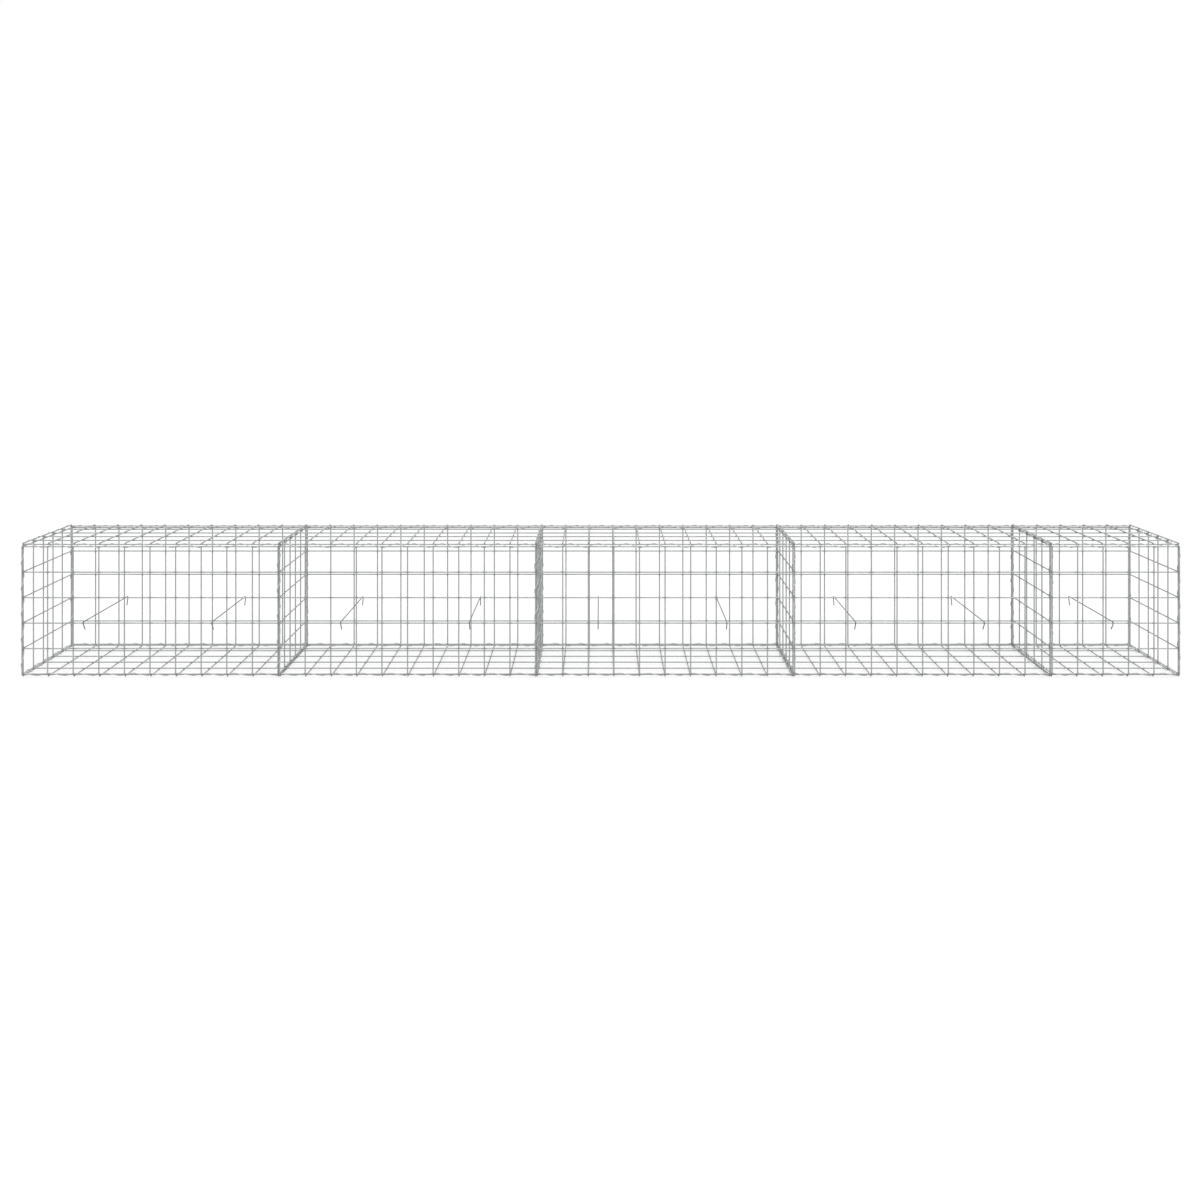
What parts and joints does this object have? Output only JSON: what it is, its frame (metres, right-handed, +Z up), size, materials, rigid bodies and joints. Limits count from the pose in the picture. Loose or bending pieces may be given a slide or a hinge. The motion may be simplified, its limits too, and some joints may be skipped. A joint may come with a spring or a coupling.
{
  "type": "gabion wall",
  "caption": "Straight gabion wall of empty welded-wire baskets with lids, dividers, laced seam spirals and cross ties, ready for a stone fill",
  "frame": {"origin": "bottom centre of the wall's box, on the ground under the spirals of the bottom seams", "axes": "+X along the wall with the short bay at the +X end, +Y from the front to the back, +Z up"},
  "size_m": [4.5116, 0.5104, 0.5311],
  "materials": {
    "galvanised_mesh": "hot-dip galvanised wire, matte grey with faint spangle",
    "spiral_wire": "galvanised spiral wire, brighter grey",
    "tie_wire": "galvanised tie wire, darker matte grey"
  },
  "bodies": {
    "root": {"front_panel_1": "galvanised_mesh", "front_panel_2": "galvanised_mesh", "front_panel_3": "galvanised_mesh", "front_panel_4": "galvanised_mesh", "front_panel_5": "galvanised_mesh", "back_panel_1": "galvanised_mesh", "back_panel_2": "galvanised_mesh", "back_panel_3": "galvanised_mesh", "back_panel_4": "galvanised_mesh", "back_panel_5": "galvanised_mesh", "bottom_panel_1": "galvanised_mesh", "bottom_panel_2": "galvanised_mesh", "bottom_panel_3": "galvanised_mesh", "bottom_panel_4": "galvanised_mesh", "bottom_panel_5": "galvanised_mesh", "lid_1": "galvanised_mesh", "lid_2": "galvanised_mesh", "lid_3": "galvanised_mesh", "lid_4": "galvanised_mesh", "lid_5": "galvanised_mesh", "left_end_panel": "galvanised_mesh", "right_end_panel": "galvanised_mesh", "divider_1": "galvanised_mesh", "divider_2": "galvanised_mesh", "divider_3": "galvanised_mesh", "divider_4": "galvanised_mesh", "top_front_spirals": "spiral_wire", "top_back_spirals": "spiral_wire", "bottom_front_spirals": "spiral_wire", "bottom_back_spirals": "spiral_wire", "front_upright_spirals": "spiral_wire", "back_upright_spirals": "spiral_wire", "lid_cross_spirals": "spiral_wire", "bottom_cross_spirals": "spiral_wire", "bottom_end_spirals": "spiral_wire", "cross_ties_1": "tie_wire", "cross_ties_2": "tie_wire", "cross_ties_3": "tie_wire", "cross_ties_4": "tie_wire", "cross_ties_5": "tie_wire"}
  },
  "joints": []
}
